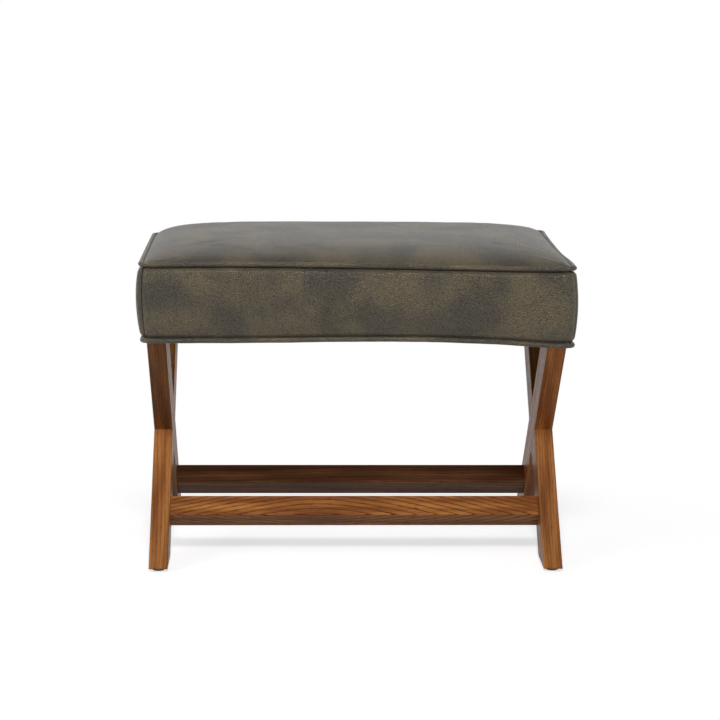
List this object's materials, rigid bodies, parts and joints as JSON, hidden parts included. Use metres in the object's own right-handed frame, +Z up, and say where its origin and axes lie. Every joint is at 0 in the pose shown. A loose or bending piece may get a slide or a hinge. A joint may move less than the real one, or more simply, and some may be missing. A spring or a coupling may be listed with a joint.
{
  "type": "ottoman",
  "caption": "Low rectangular ottoman: a welted leather box seat with a crowned top on crossed wooden legs tied by stretchers; a footrest or a low seat.",
  "frame": {"origin": "on the floor, at the centre of the ottoman's plan", "axes": "+Z up, +X along the long side of the seat, the front faces -Y"},
  "size_m": [0.6172, 0.415, 0.467],
  "materials": {
    "stained_wood": "satin",
    "frame_wood": "matte",
    "plywood": "matte",
    "dowel_wood": "matte",
    "leather": "satin",
    "welt_cord": "matte",
    "foam": "matte",
    "wadding": "matte",
    "dust_cloth": "matte",
    "steel": "satin",
    "glide_plastic": "satin"
  },
  "bodies": {
    "root": {"left_leg_front_foot": "stained_wood", "left_leg_rear_foot": "stained_wood", "right_leg_front_foot": "stained_wood", "right_leg_rear_foot": "stained_wood", "front_stretcher": "stained_wood", "rear_stretcher": "stained_wood", "left_side_rail": "frame_wood", "right_side_rail": "frame_wood", "front_rail": "frame_wood", "rear_rail": "frame_wood", "corner_blocks": "frame_wood", "seat_deck": "plywood", "stretcher_dowels": "dowel_wood", "rail_dowels": "dowel_wood", "leg_dowels": "dowel_wood", "top_panel": "leather", "front_boxing": "leather", "rear_boxing": "leather", "left_boxing": "leather", "right_boxing": "leather", "top_welt": "leather", "bottom_welt": "leather", "top_welt_cord": "welt_cord", "bottom_welt_cord": "welt_cord", "foam_core": "foam", "top_wadding": "wadding", "side_wadding": "wadding", "dust_cover": "dust_cloth", "leg_screws": "steel", "leg_screw_washers": "steel", "block_screws": "steel", "deck_screws": "steel", "dust_cover_staples": "steel", "glide_nails": "steel", "glide_front_left": "glide_plastic", "glide_front_right": "glide_plastic", "glide_rear_left": "glide_plastic", "glide_rear_right": "glide_plastic"}
  },
  "joints": []
}
